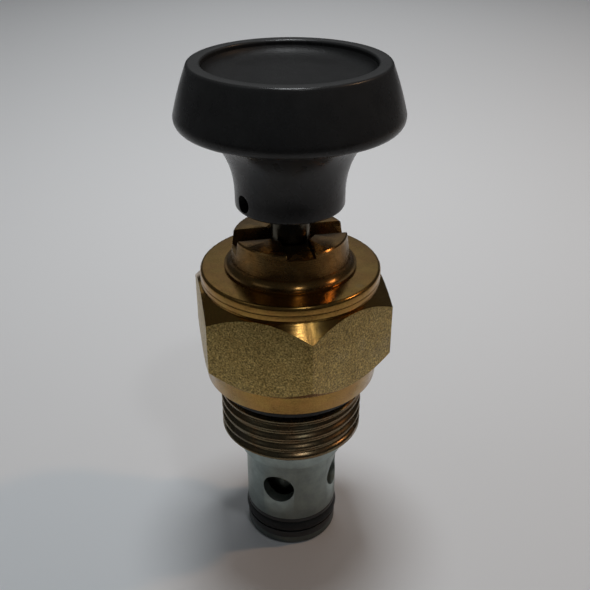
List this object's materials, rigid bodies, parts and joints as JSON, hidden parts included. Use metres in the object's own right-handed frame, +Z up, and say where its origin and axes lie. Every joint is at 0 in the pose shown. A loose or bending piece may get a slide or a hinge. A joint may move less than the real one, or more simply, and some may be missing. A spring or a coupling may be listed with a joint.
{
  "type": "flow control valve",
  "caption": "Screw-in hydraulic cartridge valve that throttles flow with a hand-turned needle and lets return flow past a spring-loaded check poppet.",
  "frame": {"origin": "centre of the nose end, on the valve's axis, at the bottom of the part", "axes": "+Z up the valve's axis from the nose to the knob; -Y towards a hex corner and a bonnet slot"},
  "size_m": [0.031, 0.0312, 0.079],
  "materials": {
    "bronzed_zinc": "yellow-passivated zinc plate, satin with a faint rainbow",
    "clear_zinc": "clear zinc plate, satin grey",
    "steel": "ground steel, oiled",
    "rubber": "moulded nitrile",
    "backup_ring": "machined polymer",
    "phenolic": "moulded black phenolic, gloss",
    "cap_disc": "fine-textured black",
    "brass": "turned"
  },
  "bodies": {
    "valve": {"hex_body": "bronzed_zinc", "cage": "clear_zinc", "bonnet": "bronzed_zinc", "port_o_ring": "rubber", "nose_o_ring": "rubber", "nose_backup_lower": "backup_ring", "nose_backup_upper": "backup_ring", "bonnet_o_ring": "rubber", "stem_wiper": "backup_ring", "spring_seat": "steel", "check_spring": "steel"},
    "metering": {"needle": "steel", "needle_snap_ring": "steel"},
    "handwheel": {"spindle": "steel", "spindle_o_ring": "rubber", "spindle_backup_ring": "backup_ring", "stop_washer": "steel", "knob": "phenolic", "knob_insert": "brass", "set_screw": "steel", "knob_cap_disc": "cap_disc"},
    "check": {"check_poppet": "steel"}
  },
  "joints": [
    {"name": "spindle_lift", "type": "slide", "parent": "valve", "child": "metering", "axis": [0, 0, 1], "range_m": [-0.003, 0.0015]},
    {"name": "knob_turn", "type": "hinge", "parent": "metering", "child": "handwheel", "pos_m": [0, 0, 0.0547], "axis": [0, 0, 1], "range_deg": [-1080, 540]},
    {"name": "check_lift", "type": "slide", "parent": "valve", "child": "check", "axis": [0, 0, 1], "range_m": [0, 0.0024], "stiffness_N_per_m": 800, "springref_m": -0.0015, "deforming": ["check_spring"]}
  ],
  "couplings": [
    {"joint": "spindle_lift", "follows": "knob_turn", "m_per_rad": 0.00015915}
  ]
}
